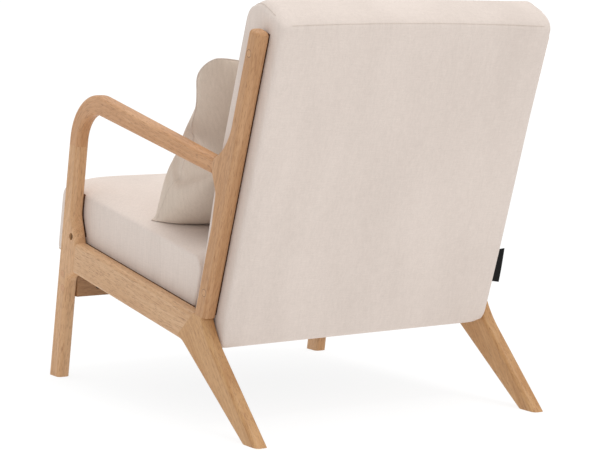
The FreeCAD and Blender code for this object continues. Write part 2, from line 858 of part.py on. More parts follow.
back_length = size("back_length")
back_peak = size("back_peak")
back_thickness = size("back_thickness")

back_outline = [
    (Vector(0, 0, 0), 6),
    (Vector(0, back_length, 0), 6),
    (Vector(-back_thickness + 6, back_peak, 0), 38),
    (Vector(-back_thickness, 0, 0), 10),
]
back_inner = inset(back_outline, skin)
back_cover_outer = cushion_body("back_cover_outer", back_outline, 0.0, back_frame)
back_cover_inner = cushion_body("back_cover_inner", back_inner, skin, back_frame)
back_passages = []
for side_name, side in SIDES:
    for number, centre in enumerate(bolt_centres(side)["back"], start=1):
        back_passages.append(bolt_passage(f"back_{side_name}_{number}_passage", centre, side))
back_shell = doc.addObject("Part::Cut", "back_shell")
back_shell.Base = back_cover_outer
back_shell.Tool = back_cover_inner
node(minus("back_cover_piece", back_shell, back_passages), "back_cover")

STILE_REAR = -4.0
STILE_BASE = 5.0
STILE_TOP = 578.0
stile_front = STILE_REAR - size("back_frame_depth")
for rail_name, base in (("bottom", STILE_BASE),
                        ("top", STILE_TOP - size("back_frame_height"))):
    node(framed_box(f"back_{rail_name}_rail", back_frame,
                    Vector(-inner_rail_face, stile_front, base),
                    Vector(inner_rail_face, STILE_REAR, base + size("back_frame_height"))),
         f"back_frame_{rail_name}")
for side_name, side in SIDES:
    edges = sorted((side * inner_rail_face, side * rail_face))
    blank = framed_box(f"back_{side_name}_stile", back_frame,
                       Vector(edges[0], stile_front, STILE_BASE),
                       Vector(edges[1], STILE_REAR, STILE_TOP))
    node(minus(f"back_{side_name}_stile_piece", blank, rail_cutters("back", side_name, side)),
         f"back_frame_{side_name}")

STRAP_COUNT = 5
STRAP_FIRST = 70.0
STRAP_STEP = 100.0
strap_front = stile_front - size("webbing_thickness")
straps = []
for index in range(STRAP_COUNT):
    low = Vector(-rail_face + 6, strap_front, STRAP_FIRST + index * STRAP_STEP)
    high = Vector(rail_face - 6, stile_front, low.z + size("webbing_width"))
    straps.append(framed_box(f"back_strap_{index + 1}", back_frame, low, high))
node(group("strap_group", straps), "back_webbing")

back_foam_outline = inset(back_outline, skin + 0.3)
back_foam_outline[0] = (Vector(strap_front, skin + 0.3, 0), 0)
foam_top = crossing(back_foam_outline[1][0],
                    (back_foam_outline[2][0] - back_foam_outline[1][0]).normalize(),
                    Vector(strap_front, 0, 0), Vector(0, 1, 0))
back_foam_outline[1] = (foam_top, 0)
node(cushion_body("back_foam_block", back_foam_outline, skin + 0.3, back_frame), "back_foam")
node(framed_box("back_rear_sheet", back_frame,
                Vector(-rail_face + 3.5, STILE_REAR, STILE_BASE + 2),
                Vector(rail_face - 3.5, -skin - 0.3, STILE_TOP)), "back_rear_wadding")

# A plain woven tag is sewn into the rear seam on the sitter's right.
TAG_WIDTH = 17.0
TAG_LENGTH = 64.0
TAG_RISE = 79.0
TAG_RUN = -8.5
cushion_side = size("cushion_half_width")
node(framed_box("side_tag", back_frame,
                Vector(-cushion_side - TAG_WIDTH, TAG_RUN - 1.0, TAG_RISE),
                Vector(-cushion_side, TAG_RUN, TAG_RISE + TAG_LENGTH)), "sewn_tag")

# ---------------------------------------------------------------- loose pillow

# The pillow stands on the seat and leans on the back, turned a little towards one arm.
PILLOW_FOOT = Vector(25.0, -24.0, 340.5)
pillow_frame = Placement(
    PILLOW_FOOT,
    Rotation(Vector(0, 0, 1), size("pillow_yaw"))
    * Rotation(Vector(1, 0, 0), -size("pillow_lean")))


def pillow_body(name, gap):
    """A rounded rectangle in the pillow's XZ plane, padded and rounded into a soft block."""
    body = doc.addObject("PartDesign::Body", name)
    sketch = plane_sketch(body, "XZ_Plane", name + "_outline")
    half = size("pillow_width") / 2 - gap
    low = gap
    high = size("pillow_height") - gap
    corner = 48.0 - gap
    for edge in outline_edges([
            (Vector(-half, low, 0), corner), (Vector(half, low, 0), corner),
            (Vector(half, high, 0), corner), (Vector(-half, high, 0), corner)]):
        sketch.addGeometry(edge, False)
    pad = body.newObject("PartDesign::Pad", name + "_pad")
    pad.Profile = sketch
    pad.SideType = "Symmetric"
    bind(pad, Length=cells(f"pillow_thickness - {2 * gap}"))
    doc.recompute()
    rims = [f"Edge{number}" for number, edge in enumerate(pad.Shape.Edges, start=1)
            if abs(edge.Vertexes[0].Point.y - edge.Vertexes[-1].Point.y) < 0.001]
    fillet = body.newObject("PartDesign::Fillet", name + "_round")
    fillet.Base = (pad, rims)
    bind(fillet, Radius=cells(f"pillow_round - {gap}"))
    body.Placement = pillow_frame
    doc.recompute()
    return body


pillow_shell = doc.addObject("Part::Cut", "pillow_shell")
pillow_shell.Base = pillow_body("pillow_outer", 0.0)
pillow_shell.Tool = pillow_body("pillow_inner", 1.2)
node(pillow_shell, "pillow_cover")
node(pillow_body("pillow_core", 1.6), "pillow_fill")

# ---------------------------------------------------------------- hardware nodes

node(group("seat_bolt_group", bolts["seat"]), "seat_bolts")
node(group("back_bolt_group", bolts["back"]), "back_bolts")
node(group("apron_bolt_group", bolts["apron"]), "apron_bolts")
node(group("washer_group", washers), "bolt_washers")
node(group("barrel_nut_group", barrel_nuts), "apron_barrel_nuts")
node(group("seat_insert_group", inserts["seat"]), "seat_insert_nuts")
node(group("back_insert_group", inserts["back"]), "back_insert_nuts")
node(group("back_plug_group", plugs["back"]), "back_bolt_plugs")
node(group("apron_plug_group", plugs["apron"]), "apron_bolt_plugs")
node(group("armrest_dowel_group", dowels["armrest"]), "armrest_dowels")
node(group("rail_dowel_group", dowels["rail"]), "rail_dowels")
node(group("upright_dowel_group", dowels["upright"]), "upright_dowels")
node(group("cross_rail_dowel_group", dowels["cross_rail"]), "cross_rail_dowels")

# ---------------------------------------------------------------- check and export

doc.recompute()
for piece in doc.Objects:
    if "Invalid" in piece.State or "Error" in piece.State:
        raise RuntimeError(f"{piece.Name} did not recompute: {piece.State}")
for piece in nodes:
    if piece.Shape.isNull() or not piece.Shape.isValid():
        raise RuntimeError(f"{piece.Label} has no valid shape")
whole = Part.makeCompound([piece.Shape for piece in nodes]).BoundBox
print(f"{len(nodes)} nodes; X {whole.XMin:.1f} to {whole.XMax:.1f}, "
      f"Y {whole.YMin:.1f} to {whole.YMax:.1f}, Z {whole.ZMin:.1f} to {whole.ZMax:.1f}")
for piece in nodes:
    piece.Shape.exportStep(f"parts/{piece.Label}.step")
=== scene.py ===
import math

import bmesh
import bpy
import numpy as np
from mathutils import Matrix, Vector, noise


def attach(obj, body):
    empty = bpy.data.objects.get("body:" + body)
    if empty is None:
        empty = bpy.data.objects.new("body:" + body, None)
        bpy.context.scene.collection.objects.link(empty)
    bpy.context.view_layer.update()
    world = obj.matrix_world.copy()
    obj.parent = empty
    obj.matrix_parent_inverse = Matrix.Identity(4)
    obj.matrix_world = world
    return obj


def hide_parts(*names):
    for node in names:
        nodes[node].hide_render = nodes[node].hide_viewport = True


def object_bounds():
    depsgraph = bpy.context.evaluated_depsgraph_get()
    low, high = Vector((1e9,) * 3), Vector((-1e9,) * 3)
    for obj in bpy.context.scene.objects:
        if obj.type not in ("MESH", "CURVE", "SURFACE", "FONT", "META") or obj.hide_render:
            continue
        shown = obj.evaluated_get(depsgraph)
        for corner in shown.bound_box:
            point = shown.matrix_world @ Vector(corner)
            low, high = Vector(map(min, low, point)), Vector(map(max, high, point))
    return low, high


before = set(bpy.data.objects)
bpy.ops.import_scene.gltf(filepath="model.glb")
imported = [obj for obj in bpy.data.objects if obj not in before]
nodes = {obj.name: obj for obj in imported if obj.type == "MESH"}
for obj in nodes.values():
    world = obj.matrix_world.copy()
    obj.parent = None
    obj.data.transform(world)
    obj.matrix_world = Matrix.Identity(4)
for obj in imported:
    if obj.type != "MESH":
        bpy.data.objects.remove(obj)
cad_low, cad_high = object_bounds()
scene = bpy.context.scene

# ---------------------------------------------------------------- camera

CAMERA_AZIMUTH = math.radians(145.35)
CAMERA_ELEVATION = math.radians(7.06)
CAMERA_ROLL = math.radians(1.33)
CAMERA_DISTANCE = 4.063
CAMERA_LENS = 128.70
TARGET_ASIDE, TARGET_BEHIND = -0.0143, 0.0067
TARGET_HEIGHT = 0.3212

towards_camera = Vector((
    math.sin(CAMERA_AZIMUTH) * math.cos(CAMERA_ELEVATION),
    -math.cos(CAMERA_AZIMUTH) * math.cos(CAMERA_ELEVATION),
    math.sin(CAMERA_ELEVATION)))
right = (-towards_camera).cross(Vector((0, 0, 1))).normalized()
up = right.cross(-towards_camera)
rolled_right = right * math.cos(CAMERA_ROLL) + up * math.sin(CAMERA_ROLL)
rolled_up = up * math.cos(CAMERA_ROLL) - right * math.sin(CAMERA_ROLL)

target = (cad_low + cad_high) / 2
target += Vector((TARGET_ASIDE, TARGET_BEHIND, TARGET_HEIGHT - target.z))
camera_data = bpy.data.cameras.new("camera")
camera_data.lens = CAMERA_LENS
camera_data.sensor_width = 36.0
camera_data.clip_start = 0.1
camera_data.clip_end = 300.0
camera = bpy.data.objects.new("camera", camera_data)
scene.collection.objects.link(camera)
camera.matrix_world = (
    Matrix.Translation(target + towards_camera * CAMERA_DISTANCE)
    @ Matrix((rolled_right, rolled_up, towards_camera)).transposed().to_4x4())
scene.camera = camera

# ---------------------------------------------------------------- materials


def linear(code):
    """Linear colour from an sRGB hex code."""
    values = [int(code[index:index + 2], 16) / 255 for index in (1, 3, 5)]
    return tuple(
        value / 12.92 if value <= 0.04045 else ((value + 0.055) / 1.055) ** 2.4
        for value in values)


class Shader:
    """A node material built step by step."""

    def __init__(self, name, **settings):
        self.material = bpy.data.materials.new(name)
        self.material.use_nodes = True
        self.tree = self.material.node_tree
        self.surface = self.tree.nodes["Principled BSDF"]
        for socket, value in settings.items():
            self.surface.inputs[socket.replace("_", " ")].default_value = value

    def add(self, kind, **inputs):
        made = self.tree.nodes.new(kind)
        for socket, value in inputs.items():
            self.feed(made.inputs[socket.replace("_", " ")], value)
        return made

    def feed(self, socket, value):
        if isinstance(value, bpy.types.NodeSocket):
            self.tree.links.new(value, socket)
        else:
            socket.default_value = value

    def place(self):
        return self.add("ShaderNodeTexCoord").outputs["Object"]

    def mapped(self, source, rotation=(0, 0, 0), scale=(1, 1, 1), location=(0, 0, 0)):
        turned = self.add("ShaderNodeMapping", Vector=source, Rotation=rotation,
                          Location=location)
        sized = self.add("ShaderNodeMapping", Vector=turned.outputs[0], Scale=scale)
        return sized.outputs[0]

    def noise(self, vector, scale, detail=3.0, roughness=0.5, distortion=0.0):
        made = self.add("ShaderNodeTexNoise", Vector=vector, Scale=scale, Detail=detail,
                        Roughness=roughness, Distortion=distortion)
        return made.outputs["Fac"]

    def wave(self, vector, scale, direction, distortion, detail, detail_scale):
        made = self.add("ShaderNodeTexWave", Vector=vector, Scale=scale,
                        Distortion=distortion, Detail=detail)
        made.inputs["Detail Scale"].default_value = detail_scale
        made.bands_direction = direction
        return made.outputs["Fac"]

    def ramp(self, factor, stops):
        made = self.add("ShaderNodeValToRGB", Fac=factor)
        ramp = made.color_ramp
        while len(ramp.elements) < len(stops):
            ramp.elements.new(0.5)
        for element, (position, colour) in zip(ramp.elements, stops):
            element.position = position
            element.color = (*colour, 1.0)
        return made.outputs["Color"]

    def math(self, operation, first, second):
        made = self.tree.nodes.new("ShaderNodeMath")
        made.operation = operation
        self.feed(made.inputs[0], first)
        self.feed(made.inputs[1], second)
        return made.outputs[0]

    def mix(self, factor, first, second, blend="MIX"):
        made = self.tree.nodes.new("ShaderNodeMix")
        made.data_type = "RGBA"
        made.blend_type = blend
        self.feed(made.inputs[0], factor)
        self.feed(made.inputs[6], first)
        self.feed(made.inputs[7], second)
        return made.outputs[2]

    def bump(self, height, strength, distance, under=None):
        made = self.add("ShaderNodeBump", Height=height, Strength=strength,
                        Distance=distance)
        if under:
            self.feed(made.inputs["Normal"], under)
        return made.outputs["Normal"]

    def unbent(self, place, centre, radius, start, end):
        """Straightens coordinates round a bend about X, so that the grain follows it.

        centre is (y, z). The bend runs between the outward directions start and end, in
        radians from +Y towards +Z.
        """
        middle, half = (start + end) / 2, (end - start) / 2
        parts = self.add("ShaderNodeSeparateXYZ", Vector=place)
        y = self.math("SUBTRACT", parts.outputs["Y"], centre.x)
        z = self.math("SUBTRACT", parts.outputs["Z"], centre.y)
        ahead = self.math("ADD", self.math("MULTIPLY", y, math.cos(middle)),
                          self.math("MULTIPLY", z, math.sin(middle)))
        aside = self.math("SUBTRACT", self.math("MULTIPLY", z, math.cos(middle)),
                          self.math("MULTIPLY", y, math.sin(middle)))
        turn = self.math("ARCTAN2", aside, ahead)
        turn = self.math("MINIMUM", self.math("MAXIMUM", turn, -half), half)
        turn = self.math("ADD", turn, half)
        cosine, sine = self.math("COSINE", turn, 0.0), self.math("SINE", turn, 0.0)
        run = self.math("MULTIPLY", turn, radius)
        straight_y = self.math("ADD", self.math("MULTIPLY", y, cosine),
                               self.math("MULTIPLY", z, sine))
        straight_z = self.math("SUBTRACT", self.math("MULTIPLY", z, cosine),
                               self.math("MULTIPLY", y, sine))
        straight_y = self.math("SUBTRACT", straight_y,
                               self.math("MULTIPLY", run, math.sin(start)))
        straight_z = self.math("ADD", straight_z,
                               self.math("MULTIPLY", run, math.cos(start)))
        joined = self.add("ShaderNodeCombineXYZ", X=parts.outputs["X"], Y=straight_y,
                          Z=straight_z)
        return joined.outputs["Vector"]

    def strip(self, parts, turn, low, high, start, end):
        """1 inside a turned rectangle of the YZ plane, and 0 outside it.

        The rectangle runs from start to end in the direction turn, in radians from +Y
        towards +Z, and from low to high at right angles to that, towards the rear.
        """
        sine, cosine = math.sin(turn), math.cos(turn)
        across = self.math("SUBTRACT", self.math("MULTIPLY", parts["Y"], sine),
                           self.math("MULTIPLY", parts["Z"], cosine))
        along = self.math("ADD", self.math("MULTIPLY", parts["Y"], cosine),
                          self.math("MULTIPLY", parts["Z"], sine))
        inside = self.math("MULTIPLY", self.math("GREATER_THAN", across, low),
                           self.math("LESS_THAN", across, high))
        inside = self.math("MULTIPLY", inside, self.math("GREATER_THAN", along, start))
        return self.math("MULTIPLY", inside, self.math("LESS_THAN", along, end))

    def finish(self, colour, normal=None, roughness=None):
        self.feed(self.surface.inputs["Base Color"], colour)
        if normal:
            self.feed(self.surface.inputs["Normal"], normal)
        if roughness:
            self.feed(self.surface.inputs["Roughness"], roughness)
        return self.material


def wood(name, turn, shift, light, dark, line="#8E5F3A", bend=None):
    """Straight-grained pale wood; turn is the rotation that brings its grain onto +Y.

    bend is (centre, radius, start, end) where the grain follows a bend of the piece.
    """
    shader = Shader(name, Roughness=0.46, Specular_IOR_Level=0.38, Coat_Weight=0.06,
                    Coat_Roughness=0.4)
    place = shader.unbent(shader.place(), *bend) if bend else shader.place()
    grain = shader.mapped(place, rotation=turn, location=(shift, shift * 1.7, shift * 0.6))
    broad = shader.noise(shader.mapped(grain, scale=(17.0, 2.2, 17.0)), 1.0, 3.0, 0.5, 0.6)
    growth = shader.wave(shader.mapped(grain, scale=(1.0, 0.12, 1.0)), 34.0, "Z", 7.0,
                         3.0, 1.4)
    streak = shader.noise(shader.mapped(grain, scale=(150.0, 5.0, 150.0)), 1.0, 2.0, 0.55)
    figure = shader.math("ADD", shader.math("MULTIPLY", broad, 0.6),
                         shader.math("MULTIPLY", growth, 0.09))
    figure = shader.math("ADD", figure, shader.math("MULTIPLY", streak, 0.31))
    colour = shader.ramp(figure, [(0.30, linear(dark)), (0.66, linear(light))])
    pores = shader.noise(shader.mapped(grain, scale=(820.0, 70.0, 820.0)), 1.0, 2.0, 0.6)
    colour = shader.mix(shader.ramp(pores, [(0.52, (0, 0, 0)), (0.70, (0.66, 0.66, 0.66))]),
                        colour, (*linear(line), 1))
    fleck = shader.noise(shader.mapped(grain, scale=(360.0, 34.0, 360.0)), 1.0, 1.0, 0.4)
    colour = shader.mix(shader.ramp(fleck, [(0.62, (0, 0, 0)), (0.74, (0.34, 0.34, 0.34))]),
                        colour, (*linear(line), 1))
    tone = shader.noise(shader.place(), 5.1, 2.0)
    colour = shader.mix(
        1.0, colour, shader.ramp(tone, [(0.3, (0.93, 0.91, 0.89)), (0.7, (1.0, 1.0, 1.0))]),
        "MULTIPLY")
    normal = shader.bump(pores, 0.25, 0.0004)
    gloss = shader.ramp(broad, [(0.3, (0.52, 0.52, 0.52)), (0.7, (0.42, 0.42, 0.42))])
    return shader.finish(colour, normal, gloss)


PLUG_GAP = 0.008


def axes_of(name):
    """Where the axes of a node's round plugs cross the chair's side, as (y, z).

    Vertices closer than PLUG_GAP, seen from the side, belong to the same plug.
    """
    groups = []
    for vertex in nodes[name].data.vertices:
        spot = Vector((vertex.co.y, vertex.co.z))
        apart, joined = [], [spot]
        for group in groups:
            if min((spot - other).length for other in group) < PLUG_GAP:
                joined += group
            else:
                apart.append(group)
        groups = apart + [joined]
    return [Vector([(min(spot[axis] for spot in group) + max(spot[axis] for spot in group)) / 2
                    for axis in (0, 1)]) for group in groups]


def plug_wood(name, node, light, dark, glue):
    """Turned wooden plugs with a glue line round each; glue is its strength, 0 to 1."""
    shader = Shader(name, Roughness=0.52)
    place = shader.place()
    parts = shader.add("ShaderNodeSeparateXYZ", Vector=place)
    nearest = None
    for axis in axes_of(node):
        y = shader.math("SUBTRACT", parts.outputs["Y"], axis.x)
        z = shader.math("SUBTRACT", parts.outputs["Z"], axis.y)
        away = shader.math("ADD", shader.math("MULTIPLY", y, y),
                           shader.math("MULTIPLY", z, z))
        away = shader.math("SQRT", away, 0.0)
        nearest = away if nearest is None else shader.math("MINIMUM", nearest, away)
    streak = shader.noise(shader.mapped(place, scale=(160.0, 160.0, 700.0)), 1.0, 2.0)
    colour = shader.ramp(streak, [(0.3, linear(dark)), (0.7, linear(light))])
    centimetres = shader.math("MULTIPLY", nearest, 100.0)
    line = shader.ramp(centimetres, [(0.57, (0, 0, 0)), (0.64, (glue, glue, glue))])
    colour = shader.mix(line, colour, (*linear("#5A3418"), 1))
    return shader.finish(colour, shader.bump(streak, 0.3, 0.0002))


COVERED_FROM = 0.289
LAP = 0.0015


def rear_at(node, level):
    """The rearmost place, as (y, z), where a CAD node crosses a level."""
    mesh = nodes[node].data
    crossings = []
    for edge in mesh.edges:
        low, high = (mesh.vertices[index].co for index in edge.vertices)
        if (low.z - level) * (high.z - level) < 0:
            share = (level - low.z) / (high.z - low.z)
            crossings.append(low.y + share * (high.y - low.y))
    return Vector((max(crossings), level))


def strip_beside(first, last, slit, depth):
    """The strip, depth wide, that lies slit in front of the line that rises to last.

    It reaches LAP past both ends, so that strips in a row leave no gap.
    """
    run = last - first
    turn = math.atan2(run.y, run.x)
    edge = first.x * math.sin(turn) - first.y * math.cos(turn) - slit
    start = first.x * math.cos(turn) + first.y * math.sin(turn)
    return turn, edge - depth, edge, start - LAP, start + run.length + LAP


def strips_along_rear(node, levels, slit, depth):
    """Strips that lie slit inside the rear edge of a CAD node, from level to level."""
    spots = [rear_at(node, level) for level in levels]
    return [strip_beside(first, last, slit, depth) for first, last in zip(spots, spots[1:])]


def weave(name, light, dark, shade_strips=()):
    """Soft woven upholstery: fine crossed threads, slubs, and a faint brushed nap.

    The strips given, as strip takes them, lie on the cushion's two sides behind the edges of
    the side frames, in the narrow gap between cushion and wood. Beyond COVERED_FROM from the
    middle the cloth there is
    painted shade: a dark brown colour in place of the deep shadow of the gap.
    """
    shader = Shader(name, Roughness=0.88, Specular_IOR_Level=0.15, Sheen_Weight=0.12,
                    Sheen_Roughness=0.5)
    place = shader.place()
    warp = shader.noise(shader.mapped(place, scale=(900.0, 900.0, 60.0)), 1.0, 2.0, 0.6)
    weft = shader.noise(shader.mapped(place, scale=(60.0, 900.0, 900.0)), 1.0, 2.0, 0.6)
    depth = shader.noise(shader.mapped(place, scale=(900.0, 60.0, 900.0)), 1.0, 2.0, 0.6)
    threads = shader.math("ADD", shader.math("ADD", warp, weft), depth)
    threads = shader.math("MULTIPLY", threads, 0.333)
    nap = shader.noise(shader.mapped(place, scale=(9.0, 9.0, 1.8)), 1.0, 3.0, 0.5, 0.5)
    slub = shader.noise(shader.mapped(place, scale=(210.0, 210.0, 16.0)), 1.0, 2.0, 0.5)
    figure = shader.math("ADD", shader.math("MULTIPLY", nap, 0.6),
                         shader.math("MULTIPLY", slub, 0.4))
    colour = shader.ramp(figure, [(0.34, linear(dark)), (0.64, linear(light))])
    colour = shader.mix(
        1.0, colour,
        shader.ramp(threads, [(0.38, (0.91, 0.905, 0.90)), (0.6, (1.0, 1.0, 1.0))]),
        "MULTIPLY")
    if shade_strips:
        parts = shader.add("ShaderNodeSeparateXYZ", Vector=place).outputs
        painted_shade = 0.0
        for strip in shade_strips:
            painted_shade = shader.math("MAXIMUM", shader.strip(parts, *strip), painted_shade)
        side = shader.math("GREATER_THAN", shader.math("ABSOLUTE", parts["X"], 0.0),
                           COVERED_FROM)
        painted_shade = shader.math("MULTIPLY", painted_shade, side)
        # Painted shade: inside the strips the cloth turns dark brown in place of the deep
        # shadow beside the wood.
        colour = shader.mix(painted_shade, colour, (*linear("#6B3E1C"), 1))
    soft = shader.noise(place, 30.0, 3.0, 0.5, 0.2)
    fine = shader.bump(threads, 0.4, 0.0006)
    normal = shader.bump(soft, 0.10, 0.0018, fine)
    return shader.finish(colour, normal)


def plain_cloth(name, colour_code, bump_scale=1400.0):
    shader = Shader(name, Roughness=0.9, Specular_IOR_Level=0.2)
    threads = shader.noise(shader.place(), bump_scale, 2.0, 0.6)
    base = linear(colour_code)
    colour = shader.ramp(threads, [(0.3, tuple(0.75 * value for value in base)),
                                   (0.7, base)])
    return shader.finish(colour, shader.bump(threads, 0.4, 0.0004))


def metal(name, colour_code, roughness=0.42):
    shader = Shader(name, Metallic=0.85)
    marks = shader.noise(shader.place(), 700.0, 2.0)
    base = linear(colour_code)
    colour = shader.ramp(marks, [(0.3, tuple(0.7 * value for value in base)), (0.7, base)])
    gloss = shader.ramp(marks, [(0.2, (roughness - 0.1,) * 3), (0.8, (roughness + 0.12,) * 3)])
    return shader.finish(colour, shader.bump(marks, 0.15, 0.0002), gloss)


# A slit is how far inside the wood's edge a strip of painted shade on the cushion ends, and a
# strip is its width.
UPRIGHT_SLIT, UPRIGHT_STRIP = 0.0038, 0.020
UPRIGHT_FOOT, UPRIGHT_END_ROUND = 0.20, 0.012
LEG_SLIT, LEG_STRIP = 0.0052, 0.012
LEG_LEVELS = (0.285, 0.295, 0.305, 0.32, 0.335, 0.355, 0.38)
RAIL_SLIT, RAIL_STRIP = 0.0030, 0.030
RAIL_LEVEL, RAIL_LAP = 0.30, 0.006
RAIL_FALL = math.radians(-9.3)


def along_rail(y, z):
    return y * math.cos(RAIL_FALL) + z * math.sin(RAIL_FALL)


# Strips of painted shade on the cushion sides: along the rear edges of the upright and front
# leg, and the top of the side rail.
upright_top = max(vertex.co.z for vertex in nodes["back_upright_left"].data.vertices)
upright_shade_strips = strips_along_rear(
    "back_upright_left", (UPRIGHT_FOOT, upright_top - UPRIGHT_END_ROUND), UPRIGHT_SLIT,
    UPRIGHT_STRIP)
leg_shade_strips = strips_along_rear("front_leg_left", LEG_LEVELS, LEG_SLIT, LEG_STRIP)
rail_spots = [vertex.co for vertex in nodes["side_rail_left"].data.vertices]
rail_top = min(spot.y * math.sin(RAIL_FALL) - spot.z * math.cos(RAIL_FALL)
               for spot in rail_spots)
rail_front = rear_at("front_leg_left", RAIL_LEVEL)
rail_rear = max(rail_spots, key=lambda spot: spot.y)
rail_shade_strip = (RAIL_FALL, rail_top + RAIL_SLIT, rail_top + RAIL_STRIP,
              along_rail(rail_front.x - RAIL_LAP, rail_front.y),
              along_rail(rail_rear.y, rail_rear.z))
back_fabric = weave("back_weave", "#E6D9D0", "#DDD0C7", shade_strips=upright_shade_strips)
seat_fabric = weave("seat_weave", "#E6D9D0", "#DDD0C7", shade_strips=[*leg_shade_strips, rail_shade_strip])
pillow_fabric = weave("pillow_weave", "#DCCDBF", "#CFC0B1")
seam_fabric = weave("seam_weave", "#DACDC2", "#CDBFB3")

ARM_BEND_OUTER, ARM_BEND_MIDDLE = 0.104, 0.085
ARM_FALL, LEG_LEAN = math.radians(11.2), math.radians(8.9)
GRAIN_SHIFT = 0.37
# The angle of each piece's grain in the YZ plane, from +Y up, and its two colours.
GRAIN = {
    "front_leg": (81.0, "#DAB188", "#C29162"),
    "armrest": (-11.0, "#D4A57B", "#B98557"),
    "side_rail": (-9.3, "#D6AF87", "#BE9064"),
    "rear_leg": (128.0, "#D2A878", "#B88654"),
    "back_upright": (73.0, "#D0A47B", "#B48457"),
}


def arm_bend(name):
    """Centre, middle radius, start and end of the bend at the front of an armrest."""
    top = max((vertex.co for vertex in nodes[name].data.vertices), key=lambda spot: spot.z)
    return (Vector((top.y, top.z - ARM_BEND_OUTER)), ARM_BEND_MIDDLE,
            math.pi / 2 - ARM_FALL, math.pi - LEG_LEAN)


shift = 0.0
for side in ("left", "right"):
    for piece_name, (angle, light, dark) in GRAIN.items():
        shift += GRAIN_SHIFT
        name = f"{piece_name}_{side}"
        bend = arm_bend(name) if piece_name == "armrest" else None
        nodes[name].data.materials[0] = wood(
            f"{name}_wood", (-math.radians(angle), 0, 0), shift, light, dark, bend=bend)

ACROSS = (0, 0, math.radians(90))
# Painted shade: the cross rails share wood colours darker than the side frames', standing in
# for the shade they lie in under the seat.
CROSS_RAIL_SHADED_COLOURS = ("#BC9068", "#9C6E48", "#74492A")
shared = {
    "front_apron": wood("apron_shaded_wood", ACROSS, 0.21, *CROSS_RAIL_SHADED_COLOURS),
    "rear_cross_rail": wood("cross_rail_shaded_wood", ACROSS, 0.43, *CROSS_RAIL_SHADED_COLOURS),
}
dark_steel = metal("dark_zinc", "#3A3632")
bright_steel = metal("bright_zinc", "#9A9A9C", 0.35)
raw_wood = wood("raw_softwood", (0, 0, 0), 1.3, "#D8BE98", "#C4A374", "#A98657")
for name, light, dark, glue in (("back_bolt_plugs", "#CFA279", "#B98B5E", 0.85),
                                ("apron_bolt_plugs", "#CFA079", "#C08E66", 0.25)):
    shared[name] = plug_wood(f"{name}_wood", name, light, dark, glue)
for name in ("seat_bolts", "back_bolts", "apron_bolts", "bolt_washers",
             "apron_barrel_nuts", "seat_springs"):
    shared[name] = dark_steel
for name in ("seat_insert_nuts", "back_insert_nuts"):
    shared[name] = bright_steel
for name in ("armrest_dowels", "rail_dowels", "upright_dowels", "cross_rail_dowels",
             "seat_frame_front", "seat_frame_rear", "seat_frame_left", "seat_frame_right",
             "seat_corner_blocks", "back_frame_top", "back_frame_bottom", "back_frame_left",
             "back_frame_right"):
    shared[name] = raw_wood
shared["seat_spring_clips"] = plain_cloth("clip_plastic", "#D8D8D4", 300.0)
shared["seat_dust_cover"] = plain_cloth("dust_cloth", "#2A2826")
shared["back_webbing"] = plain_cloth("webbing_weave", "#6E6252")
for name, material in shared.items():
    nodes[name].data.materials[0] = material

# ---------------------------------------------------------------- mesh helpers


def new_object(name, mesh):
    made = bpy.data.objects.new(name, mesh)
    scene.collection.objects.link(made)
    return made


def smooth(mesh):
    mesh.polygons.foreach_set("use_smooth", [True] * len(mesh.polygons))


def local_box(node, turn):
    """Lowest and highest corner of a CAD node, measured along turned axes."""
    points = np.array([turn @ vertex.co for vertex in nodes[node].data.vertices])
    return Vector(points.min(0)), Vector(points.max(0))


EASE = 0.15
ARC_STEPS = 10
CORD_SIDES = 8
CURVE_STEPS = 4


def eased(share):
    """Spreads 0 to 1 so that steps are a little shorter near both ends."""
    return EASE * 0.5 * (1 - math.cos(math.pi * share)) + (1 - EASE) * share


def corner_arc(before, corner, after, radius):
    """Points of the round at a corner, from the side of before to the side of after."""
    to_before = (before - corner).normalized()
    to_after = (after - corner).normalized()
    half_angle = to_before.angle(to_after) / 2
    middle = (to_before + to_after).normalized()
    centre = corner + middle * (radius / math.sin(half_angle))
    first = corner + to_before * (radius / math.tan(half_angle)) - centre
    last = corner + to_after * (radius / math.tan(half_angle)) - centre
    points = []
    for index in range(ARC_STEPS + 1):
        blend = index / ARC_STEPS
        angle = first.angle(last)
        a = math.sin((1 - blend) * angle) / math.sin(angle)
        b = math.sin(blend * angle) / math.sin(angle)
        points.append(centre + first * a + last * b)
    return points


def four_sides(corners):
    """The four sides of a rounded four-cornered outline, each from round to round.

    Corners run front bottom, rear bottom, rear top, front top.
    """
    rounds = []
    for index, (corner, radius) in enumerate(corners):
        rounds.append(corner_arc(corners[index - 1][0], corner, corners[(index + 1) % 4][0],
                                 radius))
    sides = []
    for index in range(4):
        start = rounds[index]
        end = rounds[(index + 1) % 4]
        sides.append(start[len(start) // 2:] + end[:len(end) // 2 + 1])
    return sides


def point_along(path, share):
    """The point a given share of the way along a polyline."""
    steps = [(path[index + 1] - path[index]).length for index in range(len(path) - 1)]
    run = share * sum(steps)
    for index, step in enumerate(steps):
        if run <= step or index == len(steps) - 1:
            return path[index].lerp(path[index + 1], min(run / step, 1.0) if step else 0.0)
        run -= step


def outline_patch(corners):
    """Maps the unit square onto the inside of a rounded four-cornered outline."""
    bottom, rear, top, front = four_sides(corners)
    top = top[::-1]
    front = front[::-1]

    def place(s, t):
        low, high = point_along(bottom, s), point_along(top, s)
        near, far = point_along(front, t), point_along(rear, t)
        corner_mix = (
            bottom[0] * (1 - s) * (1 - t) + bottom[-1] * s * (1 - t)
            + top[0] * (1 - s) * t + top[-1] * s * t)
        return low * (1 - t) + high * t + near * (1 - s) + far * s - corner_mix

    return place


